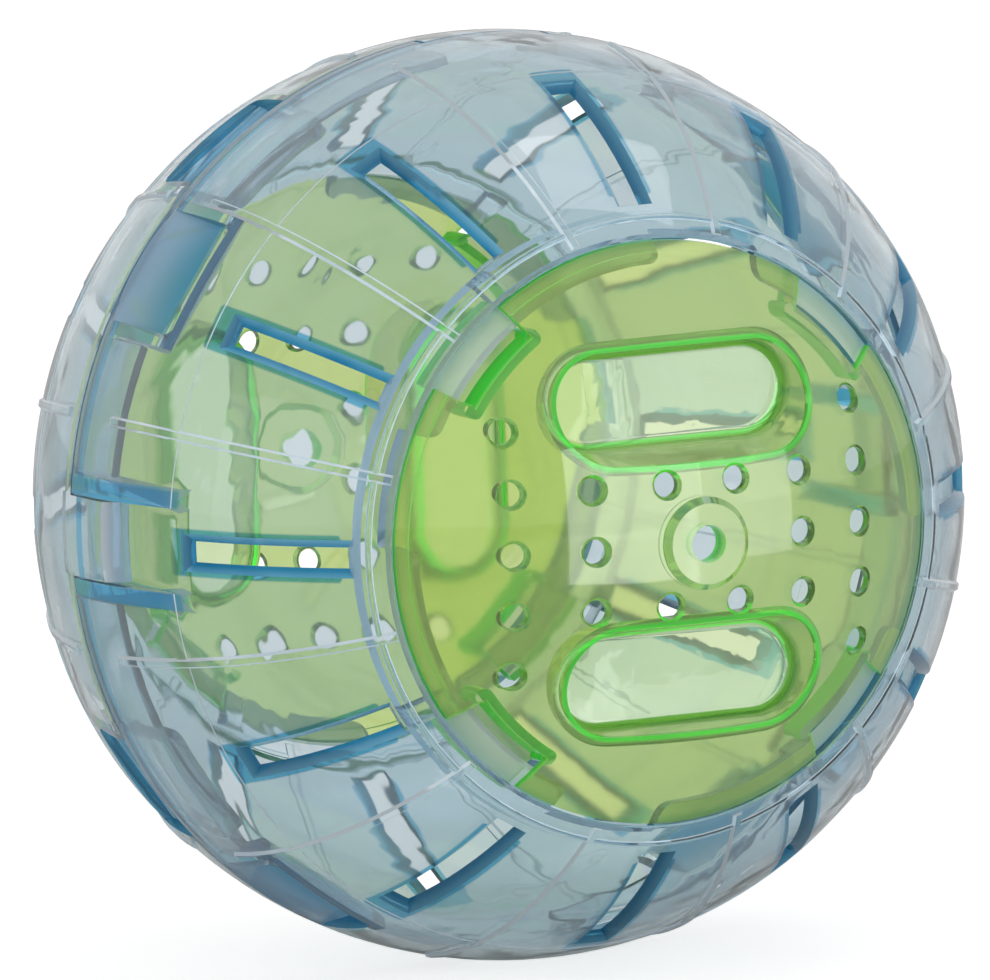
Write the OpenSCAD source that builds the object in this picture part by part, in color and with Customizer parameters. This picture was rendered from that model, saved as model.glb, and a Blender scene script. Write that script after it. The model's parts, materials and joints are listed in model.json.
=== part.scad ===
// Small hamster ball: two clear half shells and two domed bayonet doors.
// The origin is the middle of the ball, the doors face -Y and +Y, and +Z is up.

/* [Ball] */
// Outside diameter of the ball
ball_d = 120; // [116:1:140]
// Thickness of every moulded wall
wall = 1.4; // [1.2:0.1:1.8]
// Clear gap between two pieces that part or turn
gap = 0.3; // [0.2:0.05:0.4]

/* [Door ring] */
// Diameter of the round door opening
door_d = 75.6; // [68:0.2:78]
// Width of the thick ring round the door, along the surface
ring_w = 3.4; // [2.4:0.1:4.5]
// Thickness of that ring, from the outside of the ball inwards
ring_t = 3.2; // [3:0.1:4]
// How far the ledges reach in under the door
ledge_w = 3.4; // [2.6:0.1:4]
// Angle that one of the four ledges covers
ledge_angle = 67; // [60:1:68]
// Angle by which a ledge passes the end of the hook that it holds
ledge_lead = 9.5; // [6:0.5:11]
// Width of the raised bead round the ring
bead_w = 1.1; // [0.7:0.1:1.6]
// Size of the bevel round the edge of the opening
edge_bevel = 0.4; // [0.2:0.05:0.6]
// Width of the stop that ends the turn of a hook
stop_w = 2.6; // [2:0.1:4]

/* [Air slots] */
// Number of air slots in one half, with a rib between each two
slot_count = 12; // [8:1:14]
// Length of a slot on the outside, along the surface
slot_l = 25.3; // [16:0.1:26.5]
// Width of a slot on the outside
slot_w = 5; // [4:0.1:6]
// Width of a slot on the inside of the wall
slot_inner_w = 2.7; // [2:0.1:3.5]
// Distance from the ring to the slots, along the surface
slot_start = 2.1; // [1.5:0.1:4]

/* [Ribs] */
// Width of a rib at its foot
rib_w = 1.4; // [1:0.1:2]
// Height of a rib over the wall
rib_h = 0.4; // [0.2:0.05:0.7]
// Distance from the end of a rib to the plane through the middle of the ball
rib_end = 6.3; // [5:0.1:9]
// Distance from the slots to the low belt that runs round the half
belt_start = 2.1; // [1.5:0.1:4]
// Width of that belt
belt_w = 2; // [1.2:0.1:3]
// Height of that belt over the wall
belt_h = 0.15; // [0.1:0.05:0.4]

/* [Seam] */
// How far the outer lip of a half passes the middle of the ball
seam_step = 2.4; // [1.5:0.1:3.5]
// How far the inner lip of a half passes the middle of the ball
lip_reach = 6.3; // [5:0.1:8]
// Thickness of the inner lip
lip_t = 1; // [0.8:0.05:1.2]
// Width over which the inner lip joins the wall
lip_seat = 2.8; // [2:0.1:4]
// How far the latch tongue passes the middle of the ball
tongue_reach = 8.4; // [7:0.1:10]
// Angle between the ends of the outer lip and of the inner lip
lip_break = 16; // [12:1:20]

/* [Thumb scoops] */
// Width of a scoop round the ball
scoop_w = 16.4; // [12:0.1:18]
// Distance from the plane through the middle of the ball to the deep end, along the surface
scoop_start = 13.3; // [11:0.1:14]
// Length of a scoop along the surface
scoop_l = 15.8; // [13.5:0.1:17]
// Depth of a scoop
scoop_depth = 2.6; // [1.8:0.1:3.2]
// Radius of the hollow curve at its deep end
scoop_r = 5; // [4:0.1:7]
// Radius of its corners
scoop_corner = 2; // [1:0.1:3]
// Thickness of the pad that stiffens the inner lip under a scoop
pad_t = 1.6; // [1:0.1:2.4]

/* [Latch frame] */
// Width of the frame over both bars
frame_w = 15.6; // [14:0.1:18]
// Width of one bar
bar_w = 2.3; // [1.6:0.1:3]
// Distance from the middle of the ball to the end of the frame
frame_l = 21.1; // [18.5:0.1:21.5]

/* [Door cap] */
// Angle that one hook and its window cover
window_angle = 21; // [16:1:22]
// Reach of a window in from the rim of the cap
window_w = 4.6; // [4:0.1:5.5]
// Thickness of a hook
hook_t = 1.5; // [1.2:0.1:2]
// How far the wall of a hook passes each end of its window
hook_side = 1.2; // [0.6:0.1:2]
// Radius of the two corners of that wall
hook_corner = 1; // [0.6:0.1:1.2]
// Width of the lowered band round the rim
rim_w = 1.2; // [0.8:0.1:1.8]
// Depth of that lowered band
rim_drop = 0.3; // [0.15:0.05:0.5]
// Diameter of the hole in the middle of the cap
axle_d = 4.84; // [3:0.02:6]
// Diameter of the round boss about that hole
boss_d = 12; // [9:0.1:14]
// Height of that boss over the dome, and under it
boss_h = 0.8; // [0.4:0.1:1.4]

/* [Finger pockets] */
// Length of a finger pocket at its floor
pocket_l = 33.8; // [28:0.1:36]
// Width of a finger pocket at its floor
pocket_w = 12; // [10:0.1:13]
// Distance from the middle of the cap to the middle of a pocket
pocket_y = 18; // [17.6:0.1:19]
// Depth of a pocket floor under the top of the dome
pocket_drop = 11; // [9.5:0.1:12]
// Angle by which the walls of a pocket lean out
pocket_draft = 9.5; // [4:0.5:12]
// Radius of the curve between a pocket's floor and walls
pocket_round = 1.2; // [0.6:0.1:2]

/* [Air holes] */
// Diameter of an air hole
vent_d = 3.2; // [2.4:0.1:4]
// Width of the bevel round an air hole
vent_bevel = 0.45; // [0.2:0.05:0.5]
// Distance between two holes in a row
vent_pitch = 7.85; // [6.5:0.05:8.2]
// Number of holes in a row beside the pockets
vent_side_count = 5; // [1:2:5]
// Number of holes in an outer row between the pockets
vent_outer_count = 3; // [1:2:3]
// Distance from the middle of the cap to the rows beside the pockets
vent_side = 24.6; // [23:0.1:25.5]
// Distance from the middle of the cap to the outer holes between the pockets
vent_outer = 14.7; // [13:0.1:17]
// Distance from the middle of the cap to the inner holes between the pockets
vent_inner = 4.9; // [4.4:0.1:7]

/* [Hidden] */
$fn = 120;
small_fn = 32;
shell_tint = [0.66, 0.78, 0.88, 0.5];
cap_tint = [0.66, 0.8, 0.42, 0.6];

// Overrun of every cut past the face that it opens
over = 1;
ball_r = ball_d / 2;
inner_r = ball_r - wall;
door_r = door_d / 2;
quarter = 90;

// Polar angles, counted from the axis of the door
door_polar = asin(door_r / ball_r);
ring_polar = door_polar + arc(ring_w);
slot_polar = ring_polar + arc(slot_start);
slot_end_polar = slot_polar + arc(slot_l);
rib_end_polar = acos(rib_end / ball_r);

belt_polar = slot_end_polar + arc(belt_start);
slot_turn = 360 / slot_count;

// Shares: width of a rib's flat top, its start across the ring, and the depth of the bead in the ring
rib_top_share = 0.55;
rib_start_share = 0.33;
bead_sunk_share = 0.25;

// Radii of the layers at the door, from the outside inwards
ledge_r = inner_r - gap;
ledge_inner_r = ball_r - ring_t;
hook_r = ledge_inner_r - gap;
hook_inner_r = hook_r - hook_t;
ledge_corner = ledge_w / 2;

// The inner lip, and the two seam edges of a half
lip_r = inner_r - gap;
lip_inner_r = lip_r - lip_t;
outer_edge = -seam_step;
inner_edge = seam_step + gap;
lip_root = inner_edge + lip_seat;

// Angles of the thumb scoops in one half: at its outer lip, and over its inner lip
outer_scoop_angles = [145, 235];
inner_scoop_angles = [55, 325];
scoop_angles = concat(outer_scoop_angles, inner_scoop_angles);
scoop_polar = quarter - arc(scoop_start);

// The flat floor of the latch frame and the place for the lip inside it
frame_floor = sqrt(ball_r ^ 2 - frame_l ^ 2);
frame_clear_w = frame_w - 2 * bar_w;

// The cap's rim and hooks
cap_r = door_r - gap;
window_r = cap_r - window_w;
hook_angles = [45, 135, 225, 315];
pocket_floor = ball_r - pocket_drop;

// Angle that a length takes on a circle
function turn_of(length, radius) = length / radius * 180 / PI;

// Angle at the centre of the ball of a length along its surface
function arc(length) = turn_of(length, ball_r);

// Point of a meridian plane at a polar angle, as distance from the axis and height
function meridian(radius, polar) = [radius * sin(polar), radius * cos(polar)];

// Part of a ring about the axis between two radii, two angles and two heights
module sector(inner, outer, from, to, low, high) {
    translate([0, 0, low])
        rotate([0, 0, from])
            rotate_extrude(angle = to - from)
                translate([inner, 0])
                    square([outer - inner, high - low]);
}

// Layer of the sphere between two heights, outside a hole along the axis
module band(outer, inner, hole, low, high) {
    rotate_extrude()
        intersection() {
            difference() {
                circle(r = outer);
                circle(r = inner);
            }
            translate([hole, low])
                square([ball_r, high - low]);
        }
}

// Spherical layer between two radii
module layer(outer, inner) {
    difference() {
        sphere(r = outer);
        sphere(r = inner);
    }
}

// Sweeps a profile, drawn as radius and width, along a meridian between two polar angles
module along_meridian(low_polar, high_polar) {
    rotate([90, 0, 0])
        rotate([0, 0, quarter - high_polar])
            rotate_extrude(angle = high_polar - low_polar)
                children();
}

// Flat shape of a meridian plane, drawn as distance from the axis and height, made thick
module across_meridian(width) {
    rotate([90, 0, 0])
        linear_extrude(height = width, center = true)
            children();
}

// Body of one air slot: narrower towards the inside on all four sides
module slot_cut() {
    slope = (slot_w - slot_inner_w) / 2 / wall;
    closing = slot_inner_w / 2 / slope;
    top = ball_r + over;
    low = inner_r - closing / 2;
    top_w = slot_w / 2 + over * slope;
    low_w = slot_w / 2 - (ball_r - low) * slope;
    deep = inner_r - 2 * over;
    top_out = arc(over * slope);
    deep_in = arc((ball_r - deep) * slope);
    intersection() {
        along_meridian(slot_polar - 2 * top_out, slot_end_polar + 2 * top_out)
            polygon([[low, -low_w], [top, -top_w], [top, top_w], [low, low_w]]);
        across_meridian(2 * slot_w)
            polygon([
                meridian(deep, slot_polar + deep_in),
                meridian(top + over, slot_polar - 2 * top_out),
                meridian(top + over, slot_end_polar + 2 * top_out),
                meridian(deep, slot_end_polar - deep_in)
            ]);
    }
}

// One raised rib along a meridian, from the ring almost to the seam
module rib() {
    top_w = rib_w * rib_top_share;
    along_meridian(door_polar + arc(ring_w * rib_start_share), rib_end_polar)
        polygon([
            [ball_r - rib_h, -rib_w / 2],
            [ball_r, -rib_w / 2],
            [ball_r + rib_h, -top_w / 2],
            [ball_r + rib_h, top_w / 2],
            [ball_r, rib_w / 2],
            [ball_r - rib_h, rib_w / 2]
        ]);
}

// Wall of a half with the thick ring and its bead round the door, as one turned profile
module wall_and_ring() {
    edge_z = ball_r * cos(door_polar);
    rotate_extrude()
        difference() {
            intersection() {
                union() {
                    difference() {
                        circle(r = ball_r);
                        circle(r = inner_r);
                    }
                    intersection() {
                        difference() {
                            circle(r = ball_r);
                            circle(r = ledge_inner_r);
                        }
                        square([ball_r * sin(ring_polar), ball_r]);
                    }
                    translate(meridian(ball_r - bead_w * bead_sunk_share, ring_polar))
                        circle(d = bead_w, $fn = small_fn);
                    polygon([
                        meridian(ball_r - belt_h, belt_polar),
                        meridian(ball_r + belt_h, belt_polar + arc(belt_h)),
                        meridian(ball_r + belt_h, belt_polar + arc(belt_w - belt_h)),
                        meridian(ball_r - belt_h, belt_polar + arc(belt_w))
                    ]);
                }
                translate([door_r, outer_edge])
                    square([ball_r, 2 * ball_r]);
            }
            polygon([
                [door_r - over, edge_z - edge_bevel - over],
                [door_r + edge_bevel + over, edge_z + over],
                [door_r - over, edge_z + over]
            ]);
        }
}

// Part of a ring between two angles, with its two corners towards the axis rounded
module rounded_sector(inner, outer, corner, from, to) {
    corner_turn = asin(corner / (inner + corner));
    lap = corner / 4;
    sector(inner + corner, outer, from, to, 0, ball_r);
    sector(inner, inner + corner + lap, from + corner_turn, to - corner_turn, 0, ball_r);
    for (turn = [from + corner_turn, to - corner_turn])
        rotate([0, 0, turn])
            translate([inner + corner, 0, 0])
                cylinder(h = ball_r, r = corner, $fn = small_fn);
}

// Four ledges that reach in under the cap, each with the stop for one hook
module ledges() {
    tip = door_r - ledge_w;
    for (middle = hook_angles) {
        end = middle + window_angle / 2 + ledge_lead;
        intersection() {
            layer(ledge_r, ledge_inner_r);
            rounded_sector(tip, door_r + ledge_corner, ledge_corner, end - ledge_angle, end);
        }
        stop_end = middle - window_angle / 2 - turn_of(gap, door_r);
        stop_start = stop_end - turn_of(stop_w, door_r);
        intersection() {
            layer(ledge_r - gap, hook_inner_r);
            sector(tip, door_r + wall, stop_start, stop_end, 0, ball_r);
        }
    }
}

// Outline of a thumb scoop in a meridian plane, grown inwards by a margin
module scoop_outline(margin) {
    foot = meridian(ball_r, scoop_polar + arc(scoop_l));
    head = meridian(ball_r, scoop_polar);
    chord = foot - head;
    chord_l = norm(chord);
    run = chord / chord_l;
    sunk = [run[1], -run[0]];
    reach = sqrt(2 * scoop_r * scoop_depth - scoop_depth ^ 2);
    centre = head + run * reach + sunk * (scoop_depth - scoop_r);
    to_foot = foot - centre;
    lean = acos(scoop_r / norm(to_foot));
    foot_turn = atan2(to_foot * sunk, to_foot * run);
    touch_turn = foot_turn + lean;
    touch_way = run * cos(touch_turn) + sunk * sin(touch_turn);
    touch = centre + touch_way * (scoop_r + margin);
    foot_in = foot + touch_way * margin;
    translate(centre)
        circle(r = scoop_r + margin);
    polygon([
        centre,
        touch,
        foot_in,
        foot_in + run * margin,
        foot - sunk * scoop_r + run * margin,
        centre - sunk * scoop_r
    ]);
}

// Block along +X with its two corners at the top rounded, from one height to another
module arched_block(width, low, high) {
    side = width / 2 - scoop_corner;
    translate([0, -width / 2, low])
        cube([ball_r + over, width, high - scoop_corner - low]);
    translate([0, -side, low])
        cube([ball_r + over, 2 * side, high - low]);
    for (y = [-side, side])
        translate([0, y, high - scoop_corner])
            rotate([0, 90, 0])
                cylinder(h = ball_r + over, r = scoop_corner, $fn = small_fn);
}

// Hollow of a thumb scoop, with the two corners at its deep end rounded
module scoop_cut() {
    intersection() {
        across_meridian(scoop_w)
            scoop_outline(0);
        arched_block(scoop_w, -lip_reach - over, ball_r * cos(scoop_polar));
    }
}

// Wall that backs a thumb scoop on the inside
module scoop_wall() {
    intersection() {
        across_meridian(scoop_w + 2 * wall)
            scoop_outline(wall);
        sphere(r = ball_r);
        translate([0, -scoop_w, outer_edge])
            cube([ball_r, 2 * scoop_w, ball_r]);
    }
}

// The frame's two bars and its flat floor, before its hollow is cut
module frame_body() {
    intersection() {
        translate([frame_floor - wall, -frame_w / 2, outer_edge])
            cube([ball_r, frame_w, frame_l - outer_edge]);
        sphere(r = ball_r);
    }
}

// Hollow of the frame, down to its flat floor
module frame_cut() {
    translate([frame_floor, -frame_clear_w / 2, outer_edge - over])
        cube([ball_r, frame_clear_w, frame_l - outer_edge + 2 * over]);
}

// Cuts at the seam: the inner edge, and the two breaks between it and the outer edge
module seam_cut() {
    half_break = lip_break / 2;
    inside = inner_r / 2;
    outside = ball_r + over;
    low = outer_edge - over;
    side = arc(gap);
    sector(inside, outside, -quarter + half_break - side, quarter - half_break + side, low, inner_edge);
    for (turn = [quarter - half_break, 3 * quarter - half_break - side])
        sector(inside, outside, turn, turn + lip_break + side, low, gap / 2);
}

// Inner lip and latch tongue on the other side, with gaps for the other half's scoops and bars
module inner_lip() {
    half_break = lip_break / 2;
    margin = wall + gap;
    height = ball_r + inner_edge;
    difference() {
        intersection() {
            union() {
                band(lip_r, lip_inner_r, inner_r / 2, -lip_reach, lip_root);
                band(inner_r + wall / 2, lip_inner_r, inner_r / 2, inner_edge, lip_root);
            }
            sector(inner_r / 2, ball_r, -quarter + half_break, quarter - half_break, -ball_r, ball_r);
        }
        for (turn = outer_scoop_angles)
            rotate([0, 0, 2 * quarter - turn])
                translate([0, -scoop_w / 2 - margin, -ball_r])
                    cube([ball_r, scoop_w + 2 * margin, height]);
        translate([0, -frame_w / 2 - gap, -ball_r])
            cube([ball_r, frame_w + 2 * gap, height]);
    }
    for (turn = inner_scoop_angles)
        rotate([0, 0, turn])
            intersection() {
                band(lip_r, lip_inner_r - pad_t, inner_r / 2, -lip_reach, lip_root);
                mirror([0, 0, 1])
                    arched_block(scoop_w, -lip_root - over, lip_reach);
            }
    tongue();
}

// Latch tongue that lies in the other half's frame, between its bars
module tongue() {
    root = acos((lip_root + over) / ball_r);
    tip = acos(-tongue_reach / ball_r);
    slope = arc(ball_r - lip_r) + arc(gap);
    intersection() {
        across_meridian(frame_clear_w - 2 * gap)
            polygon([
                meridian(lip_inner_r - over, root),
                meridian(ball_r + over, root),
                meridian(ball_r + over, tip - 2 * slope),
                meridian(lip_r, tip),
                meridian(lip_inner_r - over, tip)
            ]);
        band(ball_r, lip_inner_r, inner_r / 2, -2 * tongue_reach, 2 * lip_root);
    }
}

// One half of the ball, with its door facing +Z and its latch frame at -X
module half_shell() {
    difference() {
        union() {
            difference() {
                union() {
                    wall_and_ring();
                    for (turn = scoop_angles)
                        rotate([0, 0, turn])
                            scoop_wall();
                    rotate([0, 0, 2 * quarter])
                        frame_body();
                    for (i = [0 : slot_count - 1])
                        rotate([0, 0, (i + 0.5) * slot_turn])
                            rib();
                }
                seam_cut();
            }
            ledges();
            inner_lip();
        }
        for (i = [0 : slot_count - 1])
            rotate([0, 0, i * slot_turn])
                slot_cut();
        for (turn = scoop_angles)
            rotate([0, 0, turn])
                scoop_cut();
        rotate([0, 0, 2 * quarter])
            frame_cut();
    }
}

// Half section of a finger pocket: a flat floor, a round corner and a wall that leans out
module pocket_section(margin) {
    low = pocket_floor - margin;
    high = ball_r + over;
    corner = pocket_round + margin;
    foot = pocket_w / 2 + margin - margin * tan(pocket_draft);
    centre = [foot + corner * tan(pocket_draft) - corner / cos(pocket_draft), low + corner];
    polygon([
        [0, low],
        [centre[0], low],
        centre,
        centre + corner * [cos(pocket_draft), -sin(pocket_draft)],
        [foot + (high - low) * tan(pocket_draft), high],
        [0, high]
    ]);
    translate(centre)
        circle(r = corner, $fn = small_fn);
}

// Long round-ended body of a finger pocket, grown by a margin
module pocket_body(margin) {
    straight = (pocket_l - pocket_w) / 2;
    for (side = [0, 1])
        mirror([side, 0, 0])
            translate([straight, 0, 0])
                rotate([0, 0, -quarter])
                    rotate_extrude(angle = 2 * quarter)
                        pocket_section(margin);
    rotate([quarter, 0, quarter])
        linear_extrude(height = 2 * straight, center = true)
            for (side = [0, 1])
                mirror([side, 0])
                    pocket_section(margin);
}

// Heights of evenly spaced holes in a row, about its middle
function row_of(count) = [for (i = [0 : count - 1]) (i - (count - 1) / 2) * vent_pitch];

// Places of the air holes in the cap
function vent_places() = concat(
    [for (x = [-vent_side, vent_side], y = row_of(vent_side_count)) [x, y]],
    [for (x = [-vent_outer, vent_outer], y = row_of(vent_outer_count)) [x, y]],
    [for (x = [-vent_inner, vent_inner], y = [-vent_pitch, vent_pitch]) [x, y]]
);

// Bevelled air hole along the axis of the cap
module vent_cut(place) {
    rho = norm(place);
    surface = sqrt(ball_r ^ 2 - rho ^ 2);
    lean = atan2(rho, surface);
    translate([place[0], place[1], ball_r / 2])
        cylinder(h = ball_r, d = vent_d, $fn = small_fn);
    rotate([0, 0, atan2(place[1], place[0])])
        rotate([0, lean, 0])
            translate([0, 0, ball_r - vent_bevel - over])
                cylinder(
                    h = vent_bevel + 2 * over,
                    r1 = vent_d / 2 - over,
                    r2 = vent_d / 2 + vent_bevel + over,
                    $fn = small_fn
                );
}

// Dome of the cap with its lowered band and its boss, as one turned profile
module dome() {
    rotate_extrude()
        difference() {
            union() {
                difference() {
                    intersection() {
                        difference() {
                            circle(r = ball_r);
                            circle(r = inner_r);
                        }
                        translate([axle_d / 2, 0])
                            square([cap_r - axle_d / 2, ball_r + over]);
                    }
                    difference() {
                        translate([cap_r - rim_w, 0])
                            square([ball_r, ball_r]);
                        circle(r = ball_r - rim_drop);
                    }
                }
                translate([axle_d / 2, 0])
                    polygon([
                        [0, inner_r - boss_h],
                        [boss_d / 2 - axle_d / 2, inner_r - boss_h],
                        [boss_d / 2 - axle_d / 2, ball_r],
                        [boss_d / 2 - axle_d / 2 - boss_h, ball_r + boss_h],
                        [0, ball_r + boss_h]
                    ]);
            }
        }
}

// One bayonet hook: a wall down from the inner edge of its window and a foot turned outwards
module hook(middle) {
    from = middle - window_angle / 2;
    to = middle + window_angle / 2;
    side = turn_of(hook_side, window_r);
    intersection() {
        layer(ball_r - wall / 2, hook_inner_r);
        rounded_sector(window_r - hook_t, window_r, hook_corner, from - side, to + side);
    }
    intersection() {
        layer(hook_r, hook_inner_r);
        sector(window_r - hook_t, cap_r - gap, from, to, 0, ball_r);
    }
}

// One door cap: a dome with finger pockets, air holes, windows, hooks and an axle hole
module door_cap() {
    difference() {
        union() {
            difference() {
                dome();
                for (middle = hook_angles)
                    rotate([0, 0, middle])
                        sector(window_r, door_r + over, -window_angle / 2, window_angle / 2, 0, 2 * ball_r);
            }
            for (middle = hook_angles)
                hook(middle);
            for (side = [-1, 1])
                intersection() {
                    translate([0, side * pocket_y, 0])
                        pocket_body(wall);
                    sphere(r = ball_r);
                }
        }
        for (side = [-1, 1])
            translate([0, side * pocket_y, 0])
                pocket_body(0);
        for (place = vent_places())
            vent_cut(place);
    }
}

// Turns a piece from its own frame, with its door on +Z, to the front of the ball
module to_front() {
    rotate([90, 0, 0])
        children();
}

// The same moulding on the other side: turned half round about +Z
module to_rear() {
    rotate([0, 0, 180])
        rotate([90, 0, 0])
            children();
}

module front_half() {
    color(shell_tint)
        to_front()
            half_shell();
}

module rear_half() {
    color(shell_tint)
        to_rear()
            half_shell();
}

module front_cap() {
    color(cap_tint)
        to_front()
            door_cap();
}

// The rear cap is locked a quarter turn on from the front one
module rear_cap() {
    color(cap_tint)
        to_rear()
            rotate([0, 0, quarter])
                door_cap();
}

front_half();
rear_half();
front_cap();
rear_cap();
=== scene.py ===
"""Looks and stage of a small clear hamster ball.

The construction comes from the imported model. Each moulding is shown by a welded copy of its solid
with true normals, in a clear tinted plastic that deepens where the surface turns away from the
ball's own skin, as the edges of thin clear mouldings do.
"""

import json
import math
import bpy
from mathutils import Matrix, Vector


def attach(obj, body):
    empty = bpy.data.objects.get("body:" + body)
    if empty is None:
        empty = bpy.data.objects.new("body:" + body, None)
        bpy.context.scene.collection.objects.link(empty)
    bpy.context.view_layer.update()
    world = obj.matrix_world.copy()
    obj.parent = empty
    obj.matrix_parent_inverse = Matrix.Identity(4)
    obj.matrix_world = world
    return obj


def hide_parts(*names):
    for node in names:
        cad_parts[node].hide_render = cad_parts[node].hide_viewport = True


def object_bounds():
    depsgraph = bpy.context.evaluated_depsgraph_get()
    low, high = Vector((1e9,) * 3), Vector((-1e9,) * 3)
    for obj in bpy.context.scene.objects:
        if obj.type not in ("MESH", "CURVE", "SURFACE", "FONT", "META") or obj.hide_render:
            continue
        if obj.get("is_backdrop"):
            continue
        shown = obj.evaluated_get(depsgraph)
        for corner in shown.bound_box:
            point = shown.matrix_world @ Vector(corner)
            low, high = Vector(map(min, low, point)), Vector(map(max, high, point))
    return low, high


bl_info = {
    "name": "Hamster Ball",
    "version": (1, 0, 0),
    "blender": (4, 5, 0),
    "location": "3D View > Sidebar > Hamster Ball",
    "description": "Finishes the mouldings of a small clear hamster ball and sets its stage",
    "category": "Object",
}

import bpy
import numpy as np
from mathutils import Matrix, Vector

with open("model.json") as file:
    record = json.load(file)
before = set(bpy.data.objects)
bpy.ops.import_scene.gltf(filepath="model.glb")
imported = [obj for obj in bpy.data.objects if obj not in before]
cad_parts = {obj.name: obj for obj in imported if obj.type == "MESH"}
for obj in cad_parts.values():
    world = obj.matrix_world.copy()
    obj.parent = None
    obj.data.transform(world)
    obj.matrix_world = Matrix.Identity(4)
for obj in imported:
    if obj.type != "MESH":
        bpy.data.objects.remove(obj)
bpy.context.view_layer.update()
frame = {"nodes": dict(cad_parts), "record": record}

MM = 0.001
BALL_R = 60 * MM

# Distances from the doors' axis: of the ring, the opening, the air holes and the axle hole
RING_R = 42 * MM
DOOR_R = 38.2 * MM
VENTS_R = 31 * MM
AXLE_R = 2.6 * MM

# Distances from the middle of the ball: of the top of a ledge, which is the inner lip's too, of the
# inside of the lip, of the top of a hook's foot, and of where the ring starts, along the axis
LEDGE_TOP_R = 58.3 * MM
LIP_INNER_R = 56.8 * MM
HOOK_TOP_R = 56.5 * MM
RING_OUT = 40 * MM

# Half the width of the zone round the seam that holds the lips
SEAM_ZONE = 16 * MM

# Finger pocket: half the straight part of its length, its place beside the axis, the radius of its
# wall at the floor, the draft of that wall, the place of the floor along the axis, how far the
# pocket with its wall reaches from its middle line, and the room that its wall and bed take
POCKET_STRAIGHT = 10.9 * MM
POCKET_SIDE = 18 * MM
POCKET_FOOT_R = 6 * MM
POCKET_DRAFT = math.radians(9.5)
POCKET_FLOOR = 49 * MM
POCKET_REACH = 9.6 * MM
POCKET_WALL = 1.9 * MM
POCKET_BED = 2 * MM

# Distances from the middle of the ball between which a scoop goes from deep to pale
# A scoop's deeper blue towards its bottom is painted shade of the hollow
SCOOP_DEEP_R = 56.8 * MM
SCOOP_TOP_R = 58.9 * MM

# Latch: its two bars from and to across it, and along it from the seam; half the width of the
# latch; and where the plate between the bars and the other half's tongue end
BAR_ACROSS = (5.5 * MM, 7.8 * MM)
BAR_ALONG = (-2.4 * MM, 21.1 * MM)
LATCH_HALF = 8.6 * MM
PLATE_END = 19 * MM
TONGUE_END = 8.1 * MM

# Places of the air slots: the angle from one to the next, half their width, and the angles off the
# doors' axis at which they start and end
SLOT_TURN = math.radians(30)
SLOT_HALF_W = 2.5 * MM
SLOT_FROM, SLOT_TO = math.radians(46.4), math.radians(70.6)

# Depths under the skin: that of the rim tint at an edge, which the latch's bars lie below too, and
# that of the line along a pocket's mouth, which the seam's inner faces lie below too
RIM_DEPTH = 1.2 * MM
LINE_DEPTH = 0.8 * MM

# How far a face may stray and still count as at a place, closely and exactly, and the difference
# in depth between the corners of a face that makes it slanted
CLOSE = 0.1 * MM
EXACT = 0.02 * MM
SLANT = 0.3 * MM

# A face turns across the skin where the dot product of its normal and the way out is under
# ACROSS, and it is level where that of its normal and the doors' axis is over LEVEL
ACROSS = 0.72
LEVEL = 0.999

# Merging of doubled points: steps to a metre; and the least length that a direction is taken from
MERGE_STEPS = 1e7
LEAST = 1e-12

# Normals: the angle past which an edge stays sharp, in degrees, and how a triangle of a sphere is
# told, by the spread of its corners' distances and the way that it faces
CREASE = 32.0
SPHERE_SPREAD = 2e-6
SPHERE_FACING = 0.97

# Kinds of faces, which are also their places in a list of materials: those that both mouldings
# have, those of a half shell, and those of a cap
SKIN, EDGE, RAISED = 0, 1, 2
STEP, BAR_AND_SCOOP, LEDGE, LIP, OPENING = 3, 4, 5, 6, 7
POCKET, FOOT, VENT, FLOOR = 3, 4, 5, 6

# The photograph's frame, and the view that it was taken from
IMAGE_W, IMAGE_H = 990, 980
BALL_PX = 466.0
CENTRE_PX = (498.57, 494.50)
TO_CAMERA = Vector((-0.4337, -0.8911, 0.1335)).normalized()
CAMERA_UP = Vector((0.0919, 0.1036, 0.9904))

# Light: the plain level of the room, the glow that makes the floor white to the eye, and the
# shares of that white that are mirrored in the plastic, and that show through it of room and floor
ROOM_LEVEL = 0.64
FLOOR_GLOW = 0.75
MIRROR_SHARE = 0.15
ROOM_THROUGH = 1.0
FLOOR_THROUGH = 0.6

# Floor: half its width and its roughness
FLOOR_HALF = 12.0
FLOOR_ROUGHNESS = 0.9
WHITE = (1, 1, 1, 1)

# Lamps: name, place, width, height, share of the setting's strength, and whether each lights the
# object, and whether the object mirrors it
LAMPS = (
    ("lamp_front", (0.02, -0.98, 0.13), 0.36, 0.34, 0.75, True, False),
    ("lamp_above", (0.36, -0.03, 0.93), 0.42, 0.42, 0.5, True, True),
    ("lamp_left", (-0.95, -0.17, 0.2), 0.7, 0.5, 0.35, True, True),
    ("mirrored_near", (0.012, -0.2, 0.0075), 0.108, 0.105, 0.046, False, True),
    ("mirrored_right", (0.167, -0.26, 0.01), 0.13, 0.13, 0.042, False, True),
)

# Camera: the width of its sensor in millimetres, and the near and far ends of what it sees
SENSOR_W = 36
CLIP = (0.1, 100)

# Surface of the plastics: index of refraction, scale and height of the waves of each wall and of
# small faces, detail and flow of the waves, the roughness of small faces and of pockets, and the
# share of clear coat on the skin of each moulding
PLASTIC_IOR = 1.49
WAVE_DETAIL = 1.5
WAVE_FLOW = 0.5
SHELL_WAVES = (80.0, 0.2 * MM)
CAP_WAVES = (80.0, 0.1 * MM)
POCKET_WAVES = (160.0, 0.05 * MM)
SMALL_WAVES = (240.0, 0.03 * MM)
SMALL_ROUGHNESS = 0.12
POCKET_ROUGHNESS = 0.06
BED_ROUGHNESS = 0.03
SHELL_COAT = 0.4
CAP_COAT = 1

# How far a skin must turn, as the dot product of its normal and the way out, for the deep tint to
# start and to be full
TURN_START, TURN_FULL = 0.97, 0.7
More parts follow.
